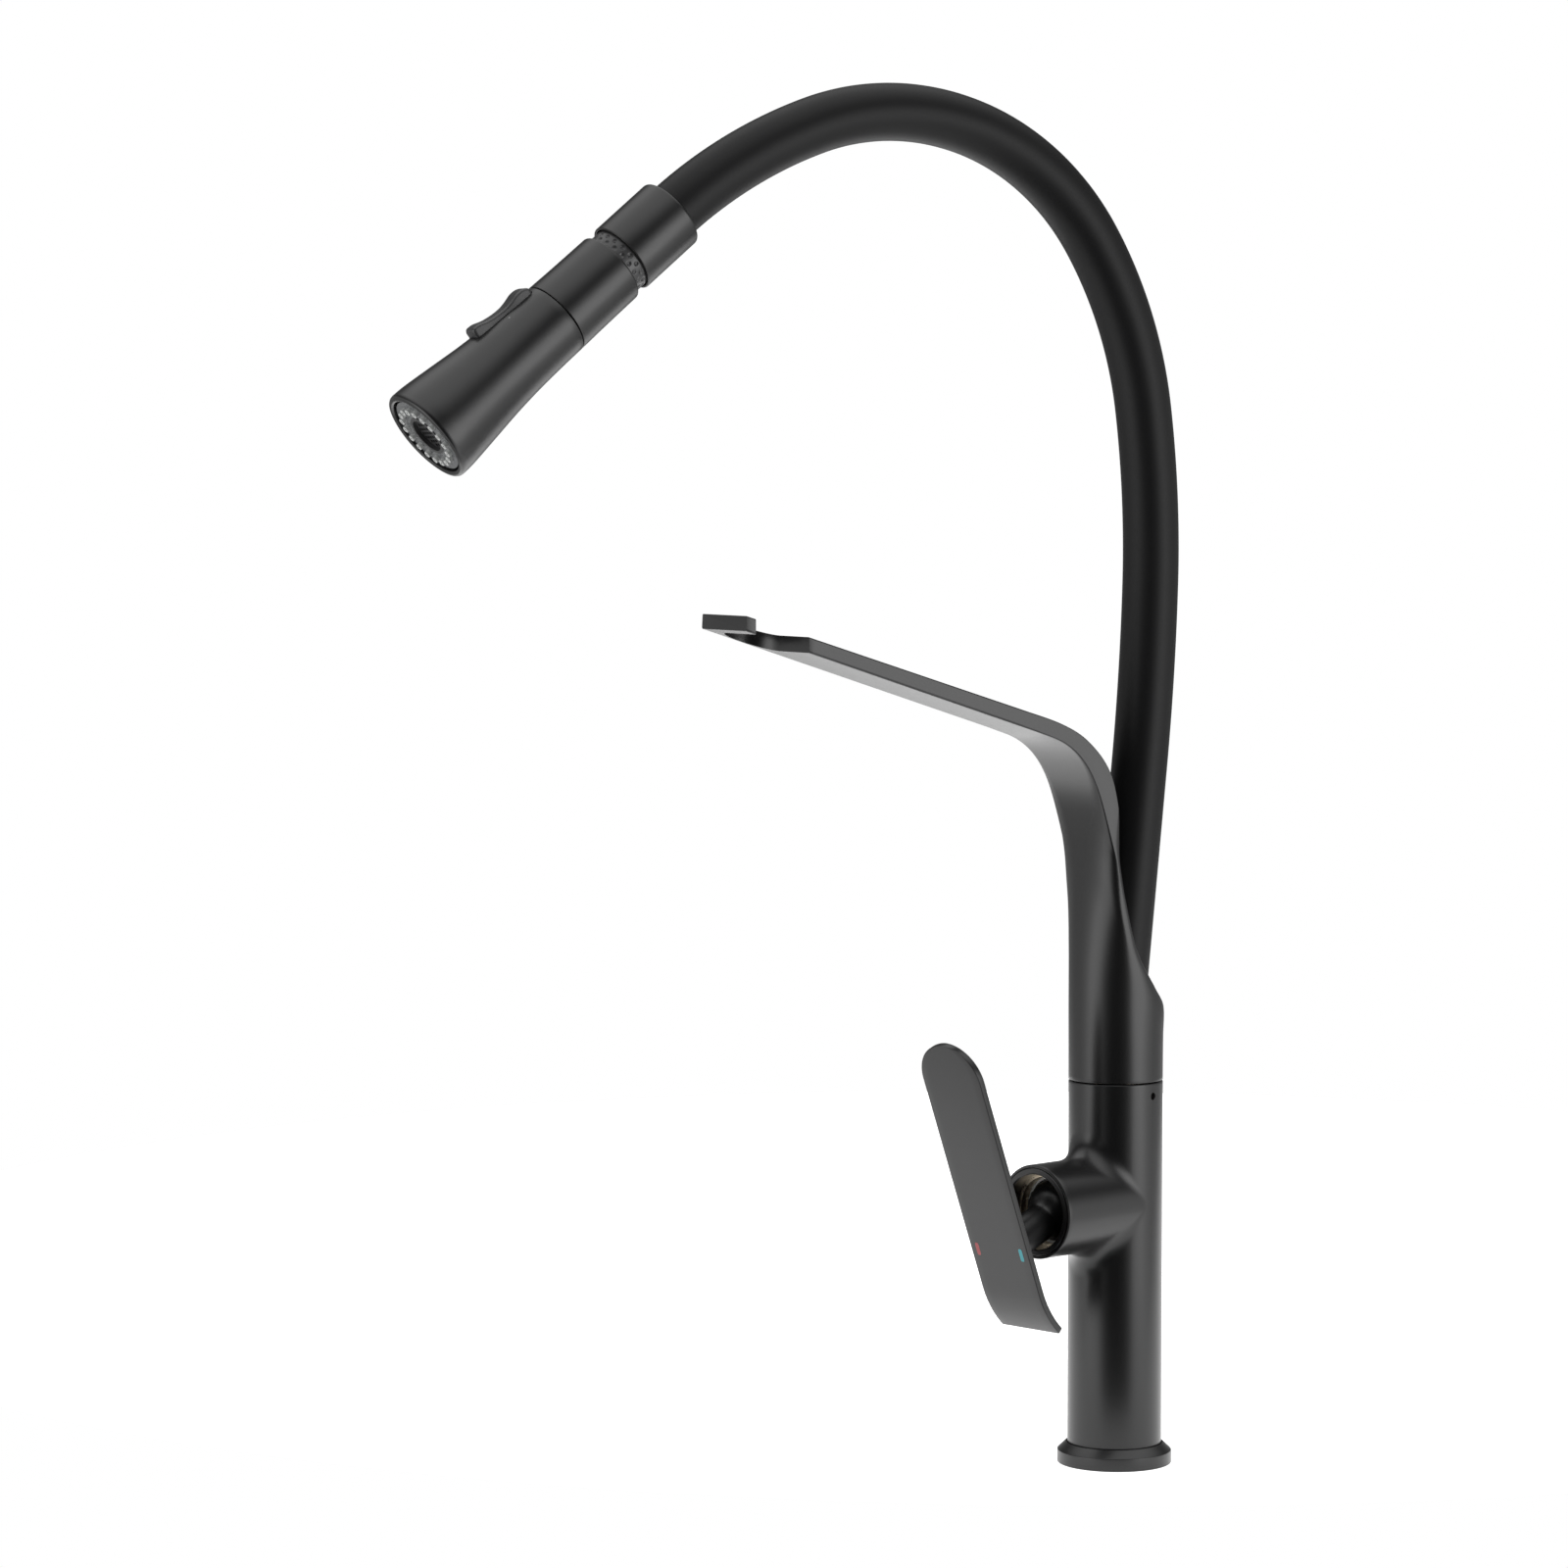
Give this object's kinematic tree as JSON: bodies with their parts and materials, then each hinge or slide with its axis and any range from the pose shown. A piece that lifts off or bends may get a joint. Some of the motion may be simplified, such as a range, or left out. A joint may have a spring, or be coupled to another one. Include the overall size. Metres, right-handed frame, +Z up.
{
  "type": "pull-down kitchen tap",
  "caption": "Single-lever kitchen tap with a tall sprung rubber hose, a pull-down two-mode spray head and a swinging arm whose open cradle holds the hose.",
  "frame": {"origin": "centre of the base flange's underside, on the worktop", "axes": "+Z up along the column, the arm and the hose reach toward -Y, +X is the open side of the arm's cradle"},
  "size_m": [0.0755, 0.3933, 0.638],
  "materials": {
    "matte_black": "matte powder coat",
    "black_rubber": "matte",
    "seal_rubber": "matte",
    "brass": "machined",
    "copper_tube": "drawn copper",
    "white_plastic": "moulded",
    "ceramic": "lapped ceramic",
    "steel": "machined",
    "black_plastic": "satin",
    "grey_face": "translucent",
    "nozzle_rubber": "matte",
    "blue_plastic": "moulded",
    "hot_paint": "printed",
    "cold_paint": "printed"
  },
  "bodies": {
    "tap": {"base_flange": "matte_black", "base_seal": "seal_rubber", "column_body": "matte_black", "inlet_block": "brass", "hot_feed_tube": "copper_tube", "cold_feed_tube": "copper_tube", "cartridge_housing": "white_plastic", "cartridge_port_seals": "seal_rubber", "fixed_ceramic_disc": "ceramic", "cartridge_nut": "brass", "boss_trim_ring": "matte_black", "swivel_bush": "white_plastic", "swivel_grub_screw": "steel"},
    "turret": {"lever_carrier": "white_plastic"},
    "lever": {"cartridge_stem": "steel", "handle_lever": "matte_black", "lever_grub_screw": "steel", "hot_mark": "hot_paint", "cold_mark": "cold_paint"},
    "disc": {"moving_ceramic_disc": "ceramic"},
    "arm": {"arm_body": "matte_black", "swivel_spigot": "brass", "swivel_o_rings": "seal_rubber", "hose_union": "brass"},
    "hose_1": {"hose_link_1": "black_rubber"},
    "hose_2": {"hose_link_2": "black_rubber"},
    "hose_3": {"hose_link_3": "black_rubber"},
    "hose_4": {"hose_link_4": "black_rubber"},
    "hose_5": {"hose_link_5": "black_rubber"},
    "hose_6": {"hose_link_6": "black_rubber"},
    "hose_end": {"hose_link_7": "black_rubber", "hose_collar": "matte_black", "collar_nipple": "brass"},
    "head": {"neck_ring": "black_plastic", "upper_shell": "matte_black", "lower_shell": "matte_black", "filter_washer": "seal_rubber", "water_core": "white_plastic", "check_valve_seat": "white_plastic", "nozzle_pad": "nozzle_rubber", "face_plate": "grey_face", "aerator_housing": "black_plastic", "aerator_mesh": "black_plastic", "button_pin": "steel"},
    "button": {"spray_button": "black_plastic"},
    "spool": {"diverter_spool": "white_plastic"},
    "poppet": {"check_poppet": "blue_plastic"}
  },
  "joints": [
    {"name": "arm_swivel", "type": "hinge", "parent": "tap", "child": "arm", "pos_m": [0, 0, 0.1803], "axis": [0, 0, 1], "continuous": true},
    {"name": "lever_temperature", "type": "hinge", "parent": "tap", "child": "turret", "pos_m": [0.01079, -0.03644, 0.1234], "axis": [0.284, -0.9588, 0], "range_deg": [-45, 45]},
    {"name": "lever_flow", "type": "hinge", "parent": "turret", "child": "lever", "pos_m": [0.01079, -0.03644, 0.1234], "axis": [-0.9588, -0.284, 0], "range_deg": [0, 20]},
    {"name": "disc_travel", "type": "slide", "parent": "turret", "child": "disc", "axis": [0, 0, -1], "range_m": [0, 0.0062]},
    {"name": "hose_twist", "type": "hinge", "parent": "arm", "child": "hose_1", "pos_m": [0, 0, 0.206], "axis": [0, 0.1002, 0.995], "range_deg": [-30, 30], "stiffness_Nm_per_rad": 1.5},
    {"name": "hose_bend_1", "type": "hinge", "parent": "hose_1", "child": "hose_2", "pos_m": [0, 0.01232, 0.32838], "axis": [1, 0, 0], "range_deg": [-6, 16], "stiffness_Nm_per_rad": 30, "springref_deg": -3.6},
    {"name": "hose_bend_2", "type": "hinge", "parent": "hose_2", "child": "hose_3", "pos_m": [0, 0.01772, 0.41069], "axis": [1, 0, 0], "range_deg": [-3.75, 10], "stiffness_Nm_per_rad": 28, "springref_deg": -3.95},
    {"name": "hose_bend_3", "type": "hinge", "parent": "hose_3", "child": "hose_4", "pos_m": [0, 0.01341, 0.49298], "axis": [1, 0, 0], "range_deg": [-2.25, 6], "stiffness_Nm_per_rad": 26, "springref_deg": -4.18},
    {"name": "hose_bend_4", "type": "hinge", "parent": "hose_4", "child": "hose_5", "pos_m": [0, -0.01473, 0.56986], "axis": [1, 0, 0], "range_deg": [-2.25, 6], "stiffness_Nm_per_rad": 22, "springref_deg": -4.41},
    {"name": "hose_bend_5", "type": "hinge", "parent": "hose_5", "child": "hose_6", "pos_m": [0, -0.07881, 0.61912], "axis": [1, 0, 0], "range_deg": [-2.25, 6], "stiffness_Nm_per_rad": 16, "springref_deg": -4.5},
    {"name": "hose_bend_6", "type": "hinge", "parent": "hose_6", "child": "hose_end", "pos_m": [0, -0.15984, 0.6175], "axis": [1, 0, 0], "range_deg": [-2.25, 6], "stiffness_Nm_per_rad": 10, "springref_deg": -4.24},
    {"name": "spray_swivel", "type": "hinge", "parent": "hose_end", "child": "head", "pos_m": [0, -0.23096, 0.57652], "axis": [0, -0.7655, -0.6435], "continuous": true},
    {"name": "button_rock", "type": "hinge", "parent": "head", "child": "button", "pos_m": [0, -0.31162, 0.52857], "axis": [1, 0, 0], "range_deg": [0, 8]},
    {"name": "spool_travel", "type": "slide", "parent": "head", "child": "spool", "axis": [0, 0.6435, -0.7655], "range_m": [0, 0.0015]},
    {"name": "check_valve_lift", "type": "slide", "parent": "head", "child": "poppet", "axis": [0, -0.7655, -0.6435], "range_m": [0, 0.003], "stiffness_N_per_m": 40}
  ],
  "couplings": [
    {"joint": "disc_travel", "follows": "lever_flow", "m_per_rad": 0.0172},
    {"joint": "spool_travel", "follows": "button_rock", "m_per_rad": 0.0095}
  ]
}
